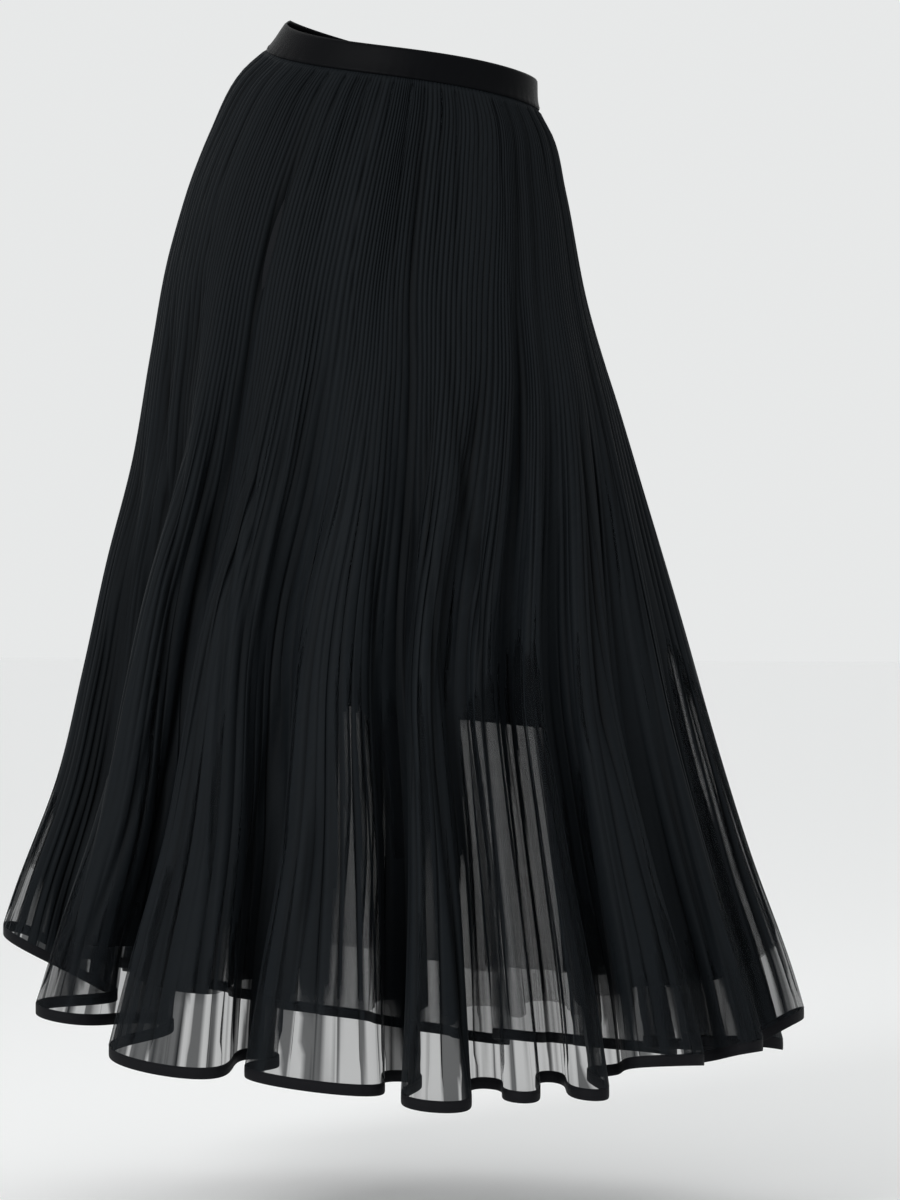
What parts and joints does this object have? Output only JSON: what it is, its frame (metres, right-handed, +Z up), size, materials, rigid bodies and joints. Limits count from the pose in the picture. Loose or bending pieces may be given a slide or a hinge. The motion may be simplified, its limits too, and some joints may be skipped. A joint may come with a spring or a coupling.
{
  "type": "pleated maxi skirt",
  "caption": "Worn-form sheer pleated maxi skirt with satin waistband, bound hem, inner sheer layer and knee-length lining, open at waist and hem.",
  "frame": {"origin": "middle of the waist opening, at the level of the waistband's top", "axes": "+Z up, -Y the garment's front, +X the wearer's left"},
  "size_m": [0.7217, 0.4925, 0.9337],
  "materials": {
    "satin": "smooth black elastic satin with a soft sheen",
    "sheer_mesh": "sheer black crinkle-pleated mesh",
    "inner_sheer": "sheer black mesh",
    "hem_tape": "matt black woven tape",
    "lining_cloth": "matt black plain-woven lining"
  },
  "bodies": {
    "root": {"waistband": "satin", "outer_back": "sheer_mesh", "outer_front": "sheer_mesh", "hem_tape_back": "hem_tape", "hem_tape_front": "hem_tape", "inner_back": "inner_sheer", "inner_front": "inner_sheer", "lining_back": "lining_cloth", "lining_front": "lining_cloth"}
  },
  "joints": []
}
